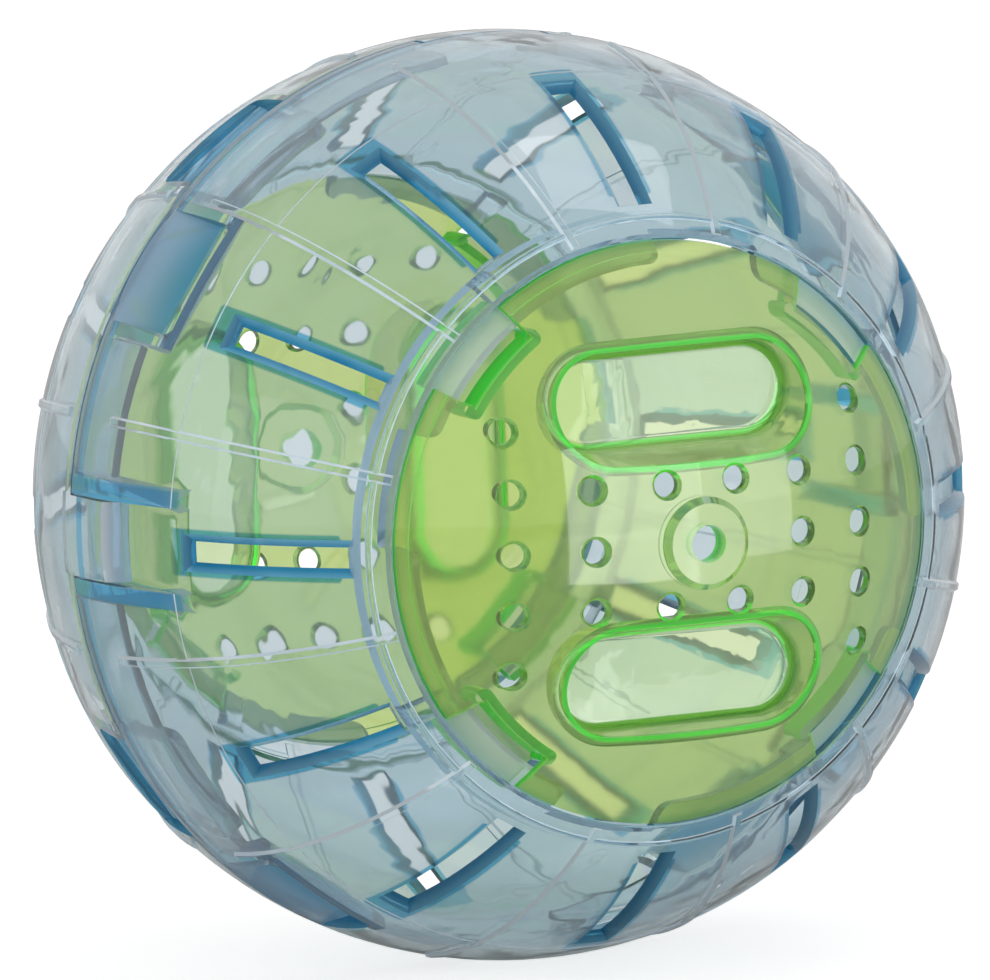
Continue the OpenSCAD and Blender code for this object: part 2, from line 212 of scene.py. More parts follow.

# Lines and zones, each as the two places between which it fades in: the bars' sides, the line of
# the seam and the line round a slot's mouth in metres; and in millimetres past a pocket's wall the
# start and end of its mouth line and its pale inside, a painted reflection, and above its floor the
# deep tint
BAR_SOFT = 0.3 * MM
SEAM_LINE = (1.0 * MM, 0.6 * MM)
MOUTH_LINE = (0.75 * MM, 0.4 * MM)
LINE_START = (-0.2, 0.0)
LINE_END = (0.85, 0.45)
PALE_INSIDE = (0.1, -0.9)
DEEP_FOOT = (1.3, 0.5)

# Strength of the painted glow, an emission that stands in for light caught in the plastic: of a
# pocket's mouth, on the skin and on its wall, of a rib, of a hook or rim, and of a pocket's floor
MOUTH_GLOW = 0.36
WALL_GLOW = 0.3
RIB_GLOW = 0.12
HOOK_GLOW = 0.15
BED_GLOW = 0.04

BODY_OF = {
    node: body for body, nodes in frame["record"]["behaviour"]["bodies"].items() for node in nodes
}
HALVES = ("front_half", "rear_half")
CAPS = ("front_cap", "rear_cap")


# Sizes and colours that a user would change


def tint(name, description, default):
    """Colour property of a finish."""
    return bpy.props.FloatVectorProperty(
        name=name, description=description, subtype="COLOR", size=3, min=0, max=1, default=default
    )


def share(name, description, default):
    """Property of a finish from 0 to 1."""
    return bpy.props.FloatProperty(
        name=name, description=description, subtype="FACTOR", min=0, max=1, default=default
    )


class ShellFinish(bpy.types.PropertyGroup):
    """Clear pale blue plastic of the half shells."""

    skin: tint("Skin", "Tint of the thin wall seen square on", (0.71, 0.83, 0.88))
    # Over the scoops this tint deepens towards their bottoms as painted shade
    deep: tint("Deep", "Tint of the thick places: scoops and latch bars", (0.09, 0.50, 0.80))
    edge: tint("Edge", "Tint of the slot walls and other edges", (0.02, 0.29, 0.56))
    rim: tint("Rim", "Tint of an edge where it meets the outer skin", (0.12, 0.46, 0.71))
    ring: tint("Ring", "Tint of the flanks of the door's ring and ledges", (0.48, 0.68, 0.84))
    # Ledge: pale tint that paints the reflection on the ledge tops
    ledge: tint("Ledge", "Pale tint of the ledges in the door's windows", (0.80, 0.96, 0.84))
    # Raised: pale tint that paints the highlights on the flanks of ribs and beads
    raised: tint("Raised", "Pale tint of the flanks of ribs and beads", (0.80, 0.90, 0.97))
    clearness: share("Clearness", "Share of the light that the plastic lets through", 0.95)
    roughness: share("Roughness", "Roughness of the moulded surface", 0.03)


class CapFinish(bpy.types.PropertyGroup):
    """Clear green plastic of the door caps."""

    skin: tint("Skin", "Tint of the dome seen square on", (0.71, 0.87, 0.32))
    deep: tint("Deep", "Tint of the thick places round the boss and pockets", (0.26, 0.64, 0.08))
    edge: tint("Edge", "Tint of hooks, rims and the mouths of the pockets", (0.06, 0.70, 0.04))
    rim: tint("Rim", "Tint of an edge where it meets the outer skin", (0.30, 0.84, 0.14))
    vent: tint("Vent", "Tint of the walls of the air holes", (0.24, 0.55, 0.10))
    # Raised: pale tint that paints the reflections on pocket floors, hook feet and the boss
    raised: tint("Raised", "Pale tint of pocket floors, hook feet and the boss", (0.84, 0.97, 0.62))
    clearness: share("Clearness", "Share of the light that the plastic lets through", 0.92)
    roughness: share("Roughness", "Roughness of the moulded surface", 0.06)


class StageSetting(bpy.types.PropertyGroup):
    """Floor, lamps and camera."""

    floor: bpy.props.FloatVectorProperty(
        name="Floor", description="Colour of the floor under its glow", subtype="COLOR",
        size=3, min=0, max=1, default=(0.5, 0.5, 0.5),
    )
    lamp: bpy.props.FloatProperty(
        name="Lamp", description="Strength of which each lamp gets its share", unit="POWER",
        min=0, default=2.0,
    )
    camera_distance: bpy.props.FloatProperty(
        name="Camera distance", description="From the middle of the ball to the camera",
        subtype="DISTANCE", unit="LENGTH", min=0.5, default=95.3 * BALL_R,
    )


# Shapes: welded copies of the solids, with normals worked out from the surfaces


def welded(node):
    """Points and triangles of a CAD node with its doubled points merged.

    Points that agree to a tenth of a micrometre become one, and a triangle that loses a corner
    that way is dropped.
    """
    mesh = frame["nodes"][node].data
    mesh.calc_loop_triangles()
    points = np.empty(len(mesh.vertices) * 3)
    mesh.vertices.foreach_get("co", points)
    corners = np.empty(len(mesh.loop_triangles) * 3, np.int32)
    mesh.loop_triangles.foreach_get("vertices", corners)
    keys = np.round(points.reshape(-1, 3) * MERGE_STEPS).astype(np.int64)
    _, first, back = np.unique(keys, axis=0, return_index=True, return_inverse=True)
    points = points.reshape(-1, 3)[first]
    faces = back.reshape(-1)[corners].reshape(-1, 3)
    whole = (
        (faces[:, 0] != faces[:, 1]) & (faces[:, 1] != faces[:, 2]) & (faces[:, 2] != faces[:, 0])
    )
    return points, faces[whole]


def unit(vectors):
    """Vectors scaled to length 1, with zero left as it is."""
    return vectors / np.maximum(np.linalg.norm(vectors, axis=-1, keepdims=True), LEAST)


def corner_normals(points, faces):
    """One normal for each corner of each triangle.

    A triangle whose corners all lie at one distance from the middle of the ball is part of a
    sphere, so its normals are radial. Any other triangle gives its own. A corner then takes the
    mean, weighted by the angle at that point, of all triangles there that turn less than the
    crease angle from its own.
    """
    tri = points[faces]
    flat = unit(np.cross(tri[:, 1] - tri[:, 0], tri[:, 2] - tri[:, 0]))
    radius = np.linalg.norm(tri, axis=2)
    radial = unit(tri)
    way = np.einsum("fk,fck->fc", flat, radial)
    on_sphere = np.ptp(radius, axis=1) < SPHERE_SPREAD
    on_sphere &= np.abs(way).min(axis=1) > SPHERE_FACING
    own = np.repeat(flat[:, None, :], 3, axis=1)
    own[on_sphere] = radial[on_sphere] * np.sign(way[on_sphere])[..., None]
    one = unit(np.roll(tri, -1, axis=1) - tri)
    two = unit(np.roll(tri, 1, axis=1) - tri)
    angle = np.arccos(np.clip(np.einsum("fck,fck->fc", one, two), -1, 1)).reshape(-1)

    at = faces.reshape(-1)
    order = np.argsort(at, kind="stable")
    count = np.bincount(at, minlength=len(points))
    start = np.concatenate([[0], np.cumsum(count)[:-1]])
    each = count[at]
    left = np.repeat(np.arange(len(at)), each)
    step = np.arange(len(left)) - np.repeat(np.cumsum(each) - each, each)
    right = order[start[at[left]] + step]
    turn = np.einsum("ij,ij->i", flat[left // 3], flat[right // 3])
    near = turn > math.cos(math.radians(CREASE))
    left, right = left[near], right[near]
    own = own.reshape(-1, 3)
    total = np.zeros_like(own)
    for axis in range(3):
        total[:, axis] = np.bincount(
            left, weights=own[right, axis] * angle[right], minlength=len(own)
        )
    return unit(total)


def face_kinds(node, points, faces):
    """Kind of each triangle, by which way it faces and where it lies.

    A triangle turns across the skin where the size of the dot product of its normal and the
    direction of its middle from the middle of the ball is small. It is then an edge, or a raised
    edge where it stands outside the ball. The rest is skin. half_kinds and cap_kinds tell apart
    the places of each moulding.
    """
    tri = points[faces]
    flat = unit(np.cross(tri[:, 1] - tri[:, 0], tri[:, 2] - tri[:, 0]))
    middle = tri.mean(axis=1)
    radius = np.linalg.norm(tri, axis=2)
    from_axis = np.hypot(middle[:, 0], middle[:, 2])
    across = np.abs(np.einsum("ij,ij->i", flat, unit(middle))) < ACROSS
    kinds = np.where(across, EDGE, SKIN)
    if node in HALVES:
        half_kinds(kinds, across, middle, radius, from_axis)
    else:
        level = np.abs(flat[:, 1]) > LEVEL
        cap_kinds(kinds, across, middle, radius, from_axis, level, node)
    kinds[across & (radius.max(axis=1) > BALL_R + EXACT) & (from_axis > AXLE_R)] = RAISED
    return kinds


def half_kinds(kinds, across, middle, radius, from_axis):
    """Sets the kinds of a half shell's own places.

    They are the steps of the door's ring and the seam, the scoops and the latch's bars, the tops
    of the ledges, the inner lip at the seam and the wall of the door's opening. The end of the
    latch's tongue and the slope up to it count as raised edges.
    """
    low, high = radius.min(axis=1), radius.max(axis=1)
    slanted = np.ptp(radius, axis=1) > SLANT
    from_seam = np.abs(middle[:, 1])
    side = np.abs(middle[:, 2])
    along = middle[:, 1] * np.sign(middle[:, 0])
    ring = (from_axis < RING_R) & (from_seam > RING_OUT)
    joint = (from_seam < SEAM_ZONE) & (high < BALL_R - LINE_DEPTH)
    bar = (side > BAR_ACROSS[0] - CLOSE) & (side < BAR_ACROSS[1] + CLOSE)
    bar &= (along > BAR_ALONG[0]) & (along < BAR_ALONG[1]) & (high < BALL_R - RIM_DEPTH)
    latch = (side < LATCH_HALF) & (along > BAR_ALONG[0] - LATCH_HALF)
    scoop = ~across & ~ring & ~latch & slanted
    slope = ~across & latch & slanted & (low > LEDGE_TOP_R - EXACT)
    lip = at_radius(radius, LEDGE_TOP_R) | at_radius(radius, LIP_INNER_R)
    kinds[across & (ring | joint)] = STEP
    kinds[across & latch & (along < PLATE_END)] = STEP
    kinds[across & latch & (np.abs(along - TONGUE_END) < SLANT)] = RAISED
    kinds[slope & (along > 0) & (along < TONGUE_END + SLANT)] = RAISED
    kinds[across & ring & (from_axis < DOOR_R) & (low > LIP_INNER_R - CLOSE)] = OPENING
    kinds[bar | scoop] = BAR_AND_SCOOP
    kinds[at_radius(radius, LEDGE_TOP_R) & ring & ~across] = LEDGE
    kinds[lip & joint & ~across & ~bar] = LIP


def cap_kinds(kinds, across, middle, radius, from_axis, level, node):
    """Sets the kinds of a cap's own places.

    They are the walls of the air holes and of the finger pockets, the tops of the hooks' feet and
    the pockets' floors. A place beside a pocket is in an air hole where it lies outside the
    pocket's wall, which widens outwards with its draft.
    """
    u, v, out = door_frame(node, middle)
    beside = np.hypot(np.maximum(np.abs(u) - POCKET_STRAIGHT, 0), np.abs(v) - POCKET_SIDE)
    pocket = (beside < POCKET_REACH) & (out > POCKET_FLOOR - POCKET_BED)
    wall_r = POCKET_FOOT_R + (out - POCKET_FLOOR) * math.tan(POCKET_DRAFT)
    in_vent = beside > wall_r + POCKET_WALL
    inner = across & (from_axis < VENTS_R)
    kinds[inner & (from_axis > AXLE_R)] = VENT
    kinds[inner & pocket & ~in_vent] = POCKET
    kinds[at_radius(radius, HOOK_TOP_R) & ~across] = FOOT
    kinds[pocket & level & (out < POCKET_FLOOR + CLOSE)] = FLOOR


def at_radius(radius, value):
    """Whether the corners of each triangle all lie at one distance from the middle of the ball."""
    return np.abs(radius - value).max(axis=1) < EXACT


def door_frame(node, places):
    """Places told from a door: along its finger pockets, across them, and out along its axis."""
    x, y, z = places[:, 0], places[:, 1], places[:, 2]
    return (x, z, -y) if node == "front_cap" else (z, x, y)


def moulding(node, name, materials):
    """A new piece that stands for a CAD node: its welded surface with corner_normals.

    The materials are in the order of the kinds, and face_kinds gives each face its own.
    """
    points, faces = welded(node)
    normals = corner_normals(points, faces)
    mesh = bpy.data.meshes.new(name)
    mesh.vertices.add(len(points))
    mesh.vertices.foreach_set("co", points.reshape(-1))
    mesh.loops.add(faces.size)
    mesh.loops.foreach_set("vertex_index", faces.reshape(-1))
    mesh.polygons.add(len(faces))
    mesh.polygons.foreach_set("loop_start", np.arange(0, faces.size, 3))
    mesh.update(calc_edges=True)
    mesh.polygons.foreach_set("use_smooth", np.ones(len(faces), bool))
    for material in materials:
        mesh.materials.append(material)
    mesh.polygons.foreach_set("material_index", face_kinds(node, points, faces).astype(np.int32))
    mesh.normals_split_custom_set(normals.tolist())
    mesh.update()
    piece = bpy.data.objects.new(name, mesh)
    bpy.context.scene.collection.objects.link(piece)
    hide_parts(node)
    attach(piece, BODY_OF[node])
    return piece


# Materials: node helpers, shared groups, then the plastics


def calc(tree, operation, *values):
    """Output of a Math node on values that are numbers or sockets."""
    node = tree.nodes.new("ShaderNodeMath")
    node.operation = operation
    for socket, value in zip(node.inputs, values):
        if isinstance(value, bpy.types.NodeSocket):
            tree.links.new(value, socket)
        else:
            socket.default_value = value
    return node.outputs[0]


def eased(tree, value, low, high):
    """Output of a smooth step of a socket, from 0 at the first limit to 1 at the second.

    The limits are numbers or sockets.
    """
    node = tree.nodes.new("ShaderNodeMapRange")
    node.interpolation_type = "SMOOTHSTEP"
    tree.links.new(value, node.inputs["Value"])
    for key, limit in (("From Min", low), ("From Max", high)):
        if isinstance(limit, bpy.types.NodeSocket):
            tree.links.new(limit, node.inputs[key])
        else:
            node.inputs[key].default_value = limit
    return node.outputs["Result"]


def length_of(tree, one, two):
    """Output of the length of a pair of sockets taken as the sides of a right angle."""
    square = calc(tree, "MULTIPLY_ADD", one, one, calc(tree, "MULTIPLY", two, two))
    return calc(tree, "SQRT", square)


def split_place(tree):
    """Sockets of X, Y and Z of the surface in Object coordinates."""
    place = tree.nodes.new("ShaderNodeTexCoord")
    split = tree.nodes.new("ShaderNodeSeparateXYZ")
    tree.links.new(place.outputs["Object"], split.inputs[0])
    return split.outputs[0], split.outputs[1], split.outputs[2]


def new_group(name, takes, gives):
    """New shader group with float inputs, given with their defaults, and float outputs."""
    group = bpy.data.node_groups.new(name, "ShaderNodeTree")
    for label, default in takes:
        socket = group.interface.new_socket(
            name=label, in_out="INPUT", socket_type="NodeSocketFloat"
        )
        socket.default_value = default
    for label in gives:
        group.interface.new_socket(name=label, in_out="OUTPUT", socket_type="NodeSocketFloat")
    return group, group.nodes.new("NodeGroupInput"), group.nodes.new("NodeGroupOutput")


def skin_turn(name):
    """Node group: 0 where the surface follows the ball's skin, easing to 1 where it turns away."""
    takes = (("Skin", TURN_START), ("Across", TURN_FULL))
    group, takes, gives = new_group(name, takes, ("Mask",))
    place = group.nodes.new("ShaderNodeTexCoord")
    way = group.nodes.new("ShaderNodeVectorMath")
    way.operation = "NORMALIZE"
    dot = group.nodes.new("ShaderNodeVectorMath")
    dot.operation = "DOT_PRODUCT"
    group.links.new(place.outputs["Object"], way.inputs[0])
    group.links.new(way.outputs[0], dot.inputs[0])
    group.links.new(place.outputs["Normal"], dot.inputs[1])
    facing = calc(group, "ABSOLUTE", dot.outputs["Value"])
    mask = eased(group, facing, takes.outputs["Skin"], takes.outputs["Across"])
    group.links.new(mask, gives.inputs["Mask"])
    return group


def wall_depth(name):
    """Node group: 0 deep in the wall, easing to 1 at the skin, by distance from the middle."""
    takes = (("Deep", BALL_R - RIM_DEPTH), ("Rim", BALL_R))
    group, takes, gives = new_group(name, takes, ("Mask",))
    place = group.nodes.new("ShaderNodeTexCoord")
    size = group.nodes.new("ShaderNodeVectorMath")
    size.operation = "LENGTH"
    group.links.new(place.outputs["Object"], size.inputs[0])
    mask = eased(group, size.outputs["Value"], takes.outputs["Deep"], takes.outputs["Rim"])
    group.links.new(mask, gives.inputs["Mask"])
    return group


def moulding_waves(name):
    """Node group: slow waves of a moulded wall, with a little flow in them, as a height."""
    takes = (("Scale", SHELL_WAVES[0]), ("Flow", WAVE_FLOW))
    group, takes, gives = new_group(name, takes, ("Height",))
    place = group.nodes.new("ShaderNodeTexCoord")
    noise = group.nodes.new("ShaderNodeTexNoise")
    noise.inputs["Detail"].default_value = WAVE_DETAIL
    group.links.new(place.outputs["Object"], noise.inputs["Vector"])
    group.links.new(takes.outputs["Scale"], noise.inputs["Scale"])
    group.links.new(takes.outputs["Flow"], noise.inputs["Distortion"])
    group.links.new(noise.outputs["Fac"], gives.inputs["Height"])
    return group


def finger_pocket(name):
    """Node group: how far a place lies past a finger pocket's wall, and above its floor, in mm.

    The wall is a slot's outline that widens outwards with the draft. The front door's pockets are
    long along X and the rear door's along Z.
    """
    group, _, gives = new_group(name, (), ("Past Wall", "Above Floor"))
    x, y, z = split_place(group)
    rear = calc(group, "GREATER_THAN", y, 0.0)
    wide, high = calc(group, "ABSOLUTE", x), calc(group, "ABSOLUTE", z)
    swap = calc(group, "MULTIPLY", calc(group, "SUBTRACT", high, wide), rear)
    along = calc(group, "SUBTRACT", calc(group, "ADD", wide, swap), POCKET_STRAIGHT)
    side = calc(group, "SUBTRACT", calc(group, "SUBTRACT", high, swap), POCKET_SIDE)
    beside = length_of(group, calc(group, "MAXIMUM", along, 0.0), side)
    above = calc(group, "SUBTRACT", calc(group, "ABSOLUTE", y), POCKET_FLOOR)
    wall_r = calc(group, "MULTIPLY_ADD", above, math.tan(POCKET_DRAFT), POCKET_FOOT_R)
    past = calc(group, "SUBTRACT", beside, wall_r)
    group.links.new(calc(group, "DIVIDE", past, MM), gives.inputs["Past Wall"])
    group.links.new(calc(group, "DIVIDE", above, MM), gives.inputs["Above Floor"])
    return group


def latch_bars(name):
    """Node group: 1 over the two bars of the latch of each half, 0 elsewhere."""
    group, _, gives = new_group(name, (), ("Mask",))
    x, y, z = split_place(group)
    high = calc(group, "ABSOLUTE", z)
    along = calc(group, "MULTIPLY", y, calc(group, "SIGN", x))
    mask = eased(group, high, BAR_ACROSS[0] - BAR_SOFT, BAR_ACROSS[0] + BAR_SOFT)
    for value, low, top in (
        (high, BAR_ACROSS[1] + BAR_SOFT, BAR_ACROSS[1] - BAR_SOFT),
        (along, BAR_ALONG[0] - BAR_SOFT, BAR_ALONG[0] + BAR_SOFT),
        (along, BAR_ALONG[1] + BAR_SOFT, BAR_ALONG[1] - BAR_SOFT),
    ):
        mask = calc(group, "MULTIPLY", mask, eased(group, value, low, top))
    group.links.new(mask, gives.inputs["Mask"])
    return group


def slot_mouths(name):
    """Node group: 1 on the skin close round the mouth of each air slot, easing to 0 beside it.

    A mouth is a box in two lengths on the skin: along a meridian, from the angle off the doors'
    axis, and across it, from the angle round that axis.
    """
    group, _, gives = new_group(name, (), ("Mask",))
    x, y, z = split_place(group)
    from_axis = length_of(group, x, z)
    polar = calc(group, "ARCTAN2", from_axis, calc(group, "ABSOLUTE", y))
    turn = calc(group, "PINGPONG", calc(group, "ARCTAN2", z, x), SLOT_TURN / 2)
    side = calc(group, "MULTIPLY", calc(group, "SINE", turn), from_axis)
    side = calc(group, "MAXIMUM", calc(group, "SUBTRACT", side, SLOT_HALF_W), 0.0)
    end = calc(group, "ABSOLUTE", calc(group, "SUBTRACT", polar, (SLOT_FROM + SLOT_TO) / 2))
    end = calc(group, "SUBTRACT", end, (SLOT_TO - SLOT_FROM) / 2)
    end = calc(group, "MULTIPLY", calc(group, "MAXIMUM", end, 0.0), BALL_R)
    group.links.new(eased(group, length_of(group, side, end), *MOUTH_LINE), gives.inputs["Mask"])
    return group


def placed(tree, make):
    """Node that places a shared group, named as the function that makes it, in a material."""
    name = make.__name__
    if name not in bpy.data.node_groups:
        make(name)
    node = tree.nodes.new("ShaderNodeGroup")
    node.node_tree = bpy.data.node_groups[name]
    return node


def mixed(tree, mask, first, second):
    """Output colour of a mix by a mask, where each colour is three numbers or a socket."""
    node = tree.nodes.new("ShaderNodeMix")
    node.data_type = "RGBA"
    tree.links.new(mask, node.inputs["Factor"])
    for key, value in (("A", first), ("B", second)):
        if isinstance(value, bpy.types.NodeSocket):
            tree.links.new(value, node.inputs[key])
        else:
            node.inputs[key].default_value = (*value, 1)
    return node.outputs["Result"]


def plastic(name, clearness, roughness, waves):
    """New refracting plastic with waves of a scale and height in its surface: it and its shader."""
    scale, height = waves
    material = bpy.data.materials.new(name)
    material.use_nodes = True
    tree = material.node_tree
    shader = tree.nodes["Principled BSDF"]
    shader.inputs["Transmission Weight"].default_value = clearness
    shader.inputs["IOR"].default_value = PLASTIC_IOR
    shader.inputs["Roughness"].default_value = roughness
    surface = placed(tree, moulding_waves)
    surface.inputs["Scale"].default_value = scale
    bump = tree.nodes.new("ShaderNodeBump")
    bump.inputs["Strength"].default_value = 1
    bump.inputs["Distance"].default_value = height
    tree.links.new(surface.outputs["Height"], bump.inputs["Height"])
    tree.links.new(bump.outputs["Normal"], shader.inputs["Normal"])
    return material, shader


def two_tone(
    name, deep, rim, clearness, from_r=BALL_R - RIM_DEPTH, to_r=BALL_R, roughness=SMALL_ROUGHNESS
):
    """Plastic whose tints show, one deep in the wall and one towards the skin.

    Several parts use it to paint highlights, reflections and shade.
    """
    material, shader = plastic(name, clearness, roughness, SMALL_WAVES)
    tree = material.node_tree
    depth = placed(tree, wall_depth)
    depth.inputs["Deep"].default_value = from_r
    depth.inputs["Rim"].default_value = to_r
    tree.links.new(mixed(tree, depth.outputs["Mask"], deep, rim), shader.inputs["Base Color"])
    return material


def painted_glow_plastic(name, deep, rim, clearness, glow, roughness=SMALL_ROUGHNESS):
    """Two-tone plastic with a painted glow in its own tints.

    The glow stands in for the light that the edges of bright plastic gather.
    """
    material = two_tone(name, deep, rim, clearness, roughness=roughness)
    shader = material.node_tree.nodes["Principled BSDF"]
    own = shader.inputs["Base Color"].links[0].from_socket
    material.node_tree.links.new(own, shader.inputs["Emission Color"])
    shader.inputs["Emission Strength"].default_value = glow
    return material


def paint_glow_at(material, mask, colour, strength):
    """Paints a glow in one colour over a mask's places.

    The glow stands in for light that has run along a clear wall.
    """
    tree = material.node_tree
    shader = tree.nodes["Principled BSDF"]
    tree.links.new(mixed(tree, mask, (0, 0, 0), colour), shader.inputs["Emission Color"])
    shader.inputs["Emission Strength"].default_value = strength


def shell_plastic(finish):
    """Clear pale blue wall, deeper where the skin turns and over the bars and seam.

    The skin takes the edges' tint in a line round the mouths of the air slots.
    """
    name = "clear_blue_plastic"
    material, shader = plastic(name, finish.clearness, finish.roughness, SHELL_WAVES)
    tree = material.node_tree
    shader.inputs["Coat Weight"].default_value = SHELL_COAT
    turned = placed(tree, skin_turn).outputs["Mask"]
    bars = placed(tree, latch_bars).outputs["Mask"]
    colour = mixed(tree, calc(tree, "MAXIMUM", turned, bars), finish.skin, finish.deep)
    outside = placed(tree, wall_depth).outputs["Mask"]
    seam = eased(tree, calc(tree, "ABSOLUTE", split_place(tree)[1]), *SEAM_LINE)
    colour = mixed(tree, calc(tree, "MULTIPLY", seam, outside), colour, finish.deep)
    mouths = calc(tree, "MULTIPLY", placed(tree, slot_mouths).outputs["Mask"], outside)
    tree.links.new(mixed(tree, mouths, colour, finish.edge), shader.inputs["Base Color"])
    return material


def cap_plastic(finish):
    """Clear green wall, painted pale inside the pockets as a reflection, with a saturated line
    round their mouths that has a painted glow.
    """
    name = "clear_green_plastic"
    material, shader = plastic(name, finish.clearness, finish.roughness, CAP_WAVES)
    tree = material.node_tree
    shader.inputs["Coat Weight"].default_value = CAP_COAT
    turned = placed(tree, skin_turn).outputs["Mask"]
    past = placed(tree, finger_pocket).outputs["Past Wall"]
    colour = mixed(tree, turned, finish.skin, finish.deep)
    # Painted reflection: pale inside the pockets
    colour = mixed(tree, eased(tree, past, *PALE_INSIDE), colour, finish.raised)
    line = calc(tree, "MULTIPLY", eased(tree, past, *LINE_START), eased(tree, past, *LINE_END))
    tree.links.new(mixed(tree, line, colour, finish.edge), shader.inputs["Base Color"])
    # Painted glow along the mouth line
    paint_glow_at(material, line, finish.edge, MOUTH_GLOW)
    return material


def pocket_plastic(finish, clearness):
    """Wall of a finger pocket: clear, deep green along its foot and saturated along its mouth, with
    a painted glow there.
    """
    material, shader = plastic("green_pocket_wall", clearness, POCKET_ROUGHNESS, POCKET_WAVES)
    tree = material.node_tree
    above = placed(tree, finger_pocket).outputs["Above Floor"]
    mouth = placed(tree, wall_depth)
    mouth.inputs["Deep"].default_value = BALL_R - LINE_DEPTH
    mouth = mouth.outputs["Mask"]
    colour = mixed(tree, eased(tree, above, *DEEP_FOOT), finish.skin, finish.deep)
    tree.links.new(mixed(tree, mouth, colour, finish.edge), shader.inputs["Base Color"])
    paint_glow_at(material, mouth, finish.edge, WALL_GLOW)
    return material


# Operators: one for each kind of piece and one for the stage


class HAMSTERBALL_OT_half_shells(bpy.types.Operator):
    """Show both half shells in clear pale blue plastic"""

    bl_idname = "hamsterball.half_shells"
    bl_label = "Half Shells"

    def execute(self, context):
        finish = context.scene.ball_shell
        skin, deep, edge, rim = finish.skin, finish.deep, finish.edge, finish.rim
        ring, ledge, raised = finish.ring, finish.ledge, finish.raised
        materials = [
            shell_plastic(finish),
            two_tone("blue_plastic_edge", edge, rim, clearness=0.45),
            # Rib flanks, the tongue's end and its slope: pale tint and painted glow as a painted
            # highlight
            painted_glow_plastic("blue_plastic_rib", ring, raised, clearness=0.5, glow=RIB_GLOW),
            # Door ring: paler towards its bead as a painted highlight
            two_tone("blue_door_ring", ring, raised, clearness=0.85),
            # Bars and scoops: deep blue, deeper towards a scoop's bottom as painted shade
            two_tone(
                "blue_bar_and_scoop", deep, ring,
                clearness=0.55, from_r=SCOOP_DEEP_R, to_r=SCOOP_TOP_R,
            ),
            # Ledge tops: pale tint as a painted reflection
            two_tone("blue_ledge_top", ledge, skin, clearness=0.45),
            # Inner lip: almost clear, in the painted highlight and reflection tints
            two_tone("blue_inner_lip", raised, ledge, clearness=0.97),
            two_tone("blue_door_opening", edge, ring, clearness=0.7),
        ]
        for node in HALVES:
            moulding(node, node + "_shell", materials)
        return {"FINISHED"}


class HAMSTERBALL_OT_door_caps(bpy.types.Operator):
    """Show both door caps in clear green plastic"""

    bl_idname = "hamsterball.door_caps"
    bl_label = "Door Caps"

    def execute(self, context):
        finish = context.scene.ball_cap
        skin, deep, edge, rim = finish.skin, finish.deep, finish.edge, finish.rim
        vent, raised = finish.vent, finish.raised
        materials = [
            cap_plastic(finish),
            # Hooks and rims: edge tints with a painted glow
            painted_glow_plastic("green_plastic_edge", edge, rim, clearness=0.35, glow=HOOK_GLOW),
            # Boss and other raised flanks: paler outwards as a painted highlight
            two_tone("green_boss", deep, raised, clearness=0.85),
            pocket_plastic(finish, clearness=0.75),
            # Hook feet: pale tint as a painted reflection
            two_tone("green_hook_foot", raised, rim, clearness=0.55),
            two_tone("green_air_hole", deep, vent, clearness=0.75),
            # Pocket floors: pale tint and a faint painted glow as a painted reflection
            painted_glow_plastic(
                "green_pocket_floor", raised, skin,
                clearness=0.88, glow=BED_GLOW, roughness=BED_ROUGHNESS,
            ),
        ]
        for node in CAPS:
            moulding(node, node + "_door", materials)
        return {"FINISHED"}


class HAMSTERBALL_OT_stage(bpy.types.Operator):
    """Set the floor, the room, the lamps and the camera"""

    bl_idname = "hamsterball.stage"
    bl_label = "Stage"

    def execute(self, context):
        setting = context.scene.ball_stage
        context.scene.view_settings.view_transform = "Standard"
        add_floor(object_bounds()[0].z, setting)
        add_room(context.scene)
        add_lamps(context.scene, setting)
        add_camera(context.scene, setting)
        return {"FINISHED"}


def seen_ray(tree, through_share):
    """Socket that says how far a ray shows the white background.

    It is 1 for camera rays. Rays that the plastic mirrors or lets through get their shares of it,
    because what they meet lies mostly beside the backdrop.
    """
    path = tree.nodes.new("ShaderNodeLightPath")
    mirrored = calc(tree, "MULTIPLY", path.outputs["Is Glossy Ray"], MIRROR_SHARE)
    through = calc(tree, "MULTIPLY", path.outputs["Is Transmission Ray"], through_share)
    either = calc(tree, "MAXIMUM", mirrored, through)
    return calc(tree, "MAXIMUM", either, path.outputs["Is Camera Ray"])


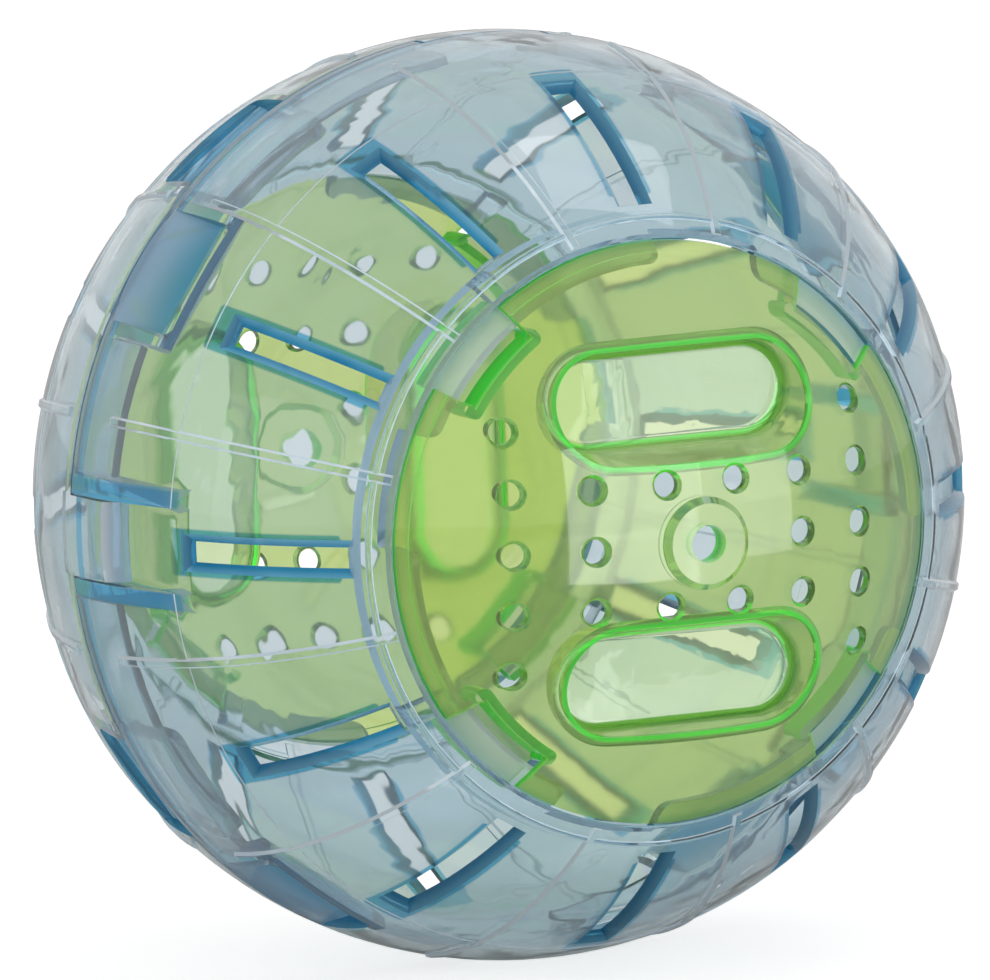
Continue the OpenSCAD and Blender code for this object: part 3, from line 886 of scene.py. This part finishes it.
def add_floor(low, setting):
    """Wide pale floor under the ball, which glows a little to the eye and so stays near white."""
    half = FLOOR_HALF
    mesh = bpy.data.meshes.new("floor")
    corners = [(-half, -half, low), (half, -half, low), (half, half, low), (-half, half, low)]
    mesh.from_pydata(corners, [], [(0, 1, 2, 3)])
    floor = bpy.data.objects.new("floor", mesh)
    bpy.context.scene.collection.objects.link(floor)
    material = bpy.data.materials.new("pale_floor")
    material.use_nodes = True
    tree = material.node_tree
    shader = tree.nodes["Principled BSDF"]
    shader.inputs["Base Color"].default_value = (*setting.floor, 1)
    shader.inputs["Roughness"].default_value = FLOOR_ROUGHNESS
    shader.inputs["Specular IOR Level"].default_value = 0
    shader.inputs["Emission Color"].default_value = WHITE
    glow = calc(tree, "MULTIPLY", seen_ray(tree, FLOOR_THROUGH), FLOOR_GLOW)
    tree.links.new(glow, shader.inputs["Emission Strength"])
    mesh.materials.append(material)
    floor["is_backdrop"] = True


def add_room(scene):
    """World: white to the eye and in the plastic, and a soft even light on everything else."""
    world = bpy.data.worlds.new("pale_room")
    scene.world = world
    world.use_nodes = True
    tree = world.node_tree
    back = tree.nodes["Background"]
    back.inputs["Color"].default_value = WHITE
    level = calc(tree, "MULTIPLY_ADD", seen_ray(tree, ROOM_THROUGH), 1 - ROOM_LEVEL, ROOM_LEVEL)
    tree.links.new(level, back.inputs["Strength"])


def add_lamps(scene, setting):
    """Soft lamps in front, above and on the left, and two in front that are only mirrored.

    Each faces the middle of the ball, and none of them shows as a shape behind it.
    """
    for name, place, wide, tall, part, lights, mirrored in LAMPS:
        data = bpy.data.lights.new(name, "AREA")
        data.shape = "RECTANGLE"
        data.size, data.size_y = wide, tall
        data.energy = setting.lamp * part
        lamp = bpy.data.objects.new(name, data)
        lamp.location = place
        lamp.rotation_mode = "QUATERNION"
        lamp.rotation_quaternion = (-Vector(place)).to_track_quat("-Z", "Y")
        lamp.visible_camera = False
        lamp.visible_transmission = False
        lamp.visible_diffuse = lights
        lamp.visible_glossy = mirrored
        scene.collection.objects.link(lamp)


def add_camera(scene, setting):
    """Camera at the photograph's angle, with the ball placed and sized as in its frame."""
    data = bpy.data.cameras.new("camera")
    camera = bpy.data.objects.new("camera", data)
    scene.collection.objects.link(camera)
    side = CAMERA_UP.cross(TO_CAMERA).normalized()
    up = TO_CAMERA.cross(side).normalized()
    turn = Matrix((side, up, TO_CAMERA)).transposed()
    focal_px = BALL_PX * setting.camera_distance / BALL_R
    data.sensor_width = SENSOR_W
    data.lens = focal_px * data.sensor_width / IMAGE_W
    data.shift_x = (IMAGE_W / 2 - CENTRE_PX[0]) / IMAGE_W
    data.shift_y = (CENTRE_PX[1] - IMAGE_H / 2) / IMAGE_W
    data.clip_start, data.clip_end = CLIP
    camera.matrix_world = Matrix.Translation(TO_CAMERA * setting.camera_distance) @ turn.to_4x4()
    scene.camera = camera


class HAMSTERBALL_PT_panel(bpy.types.Panel):
    """Lists the pieces and their settings"""

    bl_idname = "HAMSTERBALL_PT_panel"
    bl_label = "Hamster Ball"
    bl_space_type = "VIEW_3D"
    bl_region_type = "UI"
    bl_category = "Hamster Ball"

    def draw(self, context):
        layout = self.layout
        for label, group, operator in (
            ("Half shells", "ball_shell", "hamsterball.half_shells"),
            ("Door caps", "ball_cap", "hamsterball.door_caps"),
            ("Stage", "ball_stage", "hamsterball.stage"),
        ):
            box = layout.box()
            box.label(text=label)
            settings = getattr(context.scene, group)
            for key in settings.__annotations__:
                box.prop(settings, key)
            box.operator(operator)


CLASSES = (
    ShellFinish,
    CapFinish,
    StageSetting,
    HAMSTERBALL_OT_half_shells,
    HAMSTERBALL_OT_door_caps,
    HAMSTERBALL_OT_stage,
    HAMSTERBALL_PT_panel,
)
SETTINGS = (("ball_shell", ShellFinish), ("ball_cap", CapFinish), ("ball_stage", StageSetting))


def register():
    """Registers the classes and puts the settings on the scene."""
    for cls in CLASSES:
        bpy.utils.register_class(cls)
    for key, group in SETTINGS:
        setattr(bpy.types.Scene, key, bpy.props.PointerProperty(type=group))


def unregister():
    """Takes the settings off the scene and unregisters the classes."""
    for key, _ in SETTINGS:
        delattr(bpy.types.Scene, key)
    for cls in reversed(CLASSES):
        bpy.utils.unregister_class(cls)


def main():
    register()
    for make in (
        bpy.ops.hamsterball.half_shells,
        bpy.ops.hamsterball.door_caps,
        bpy.ops.hamsterball.stage,
    ):
        make()
    bpy.context.view_layer.update()


if __name__ == "__main__":
    main()
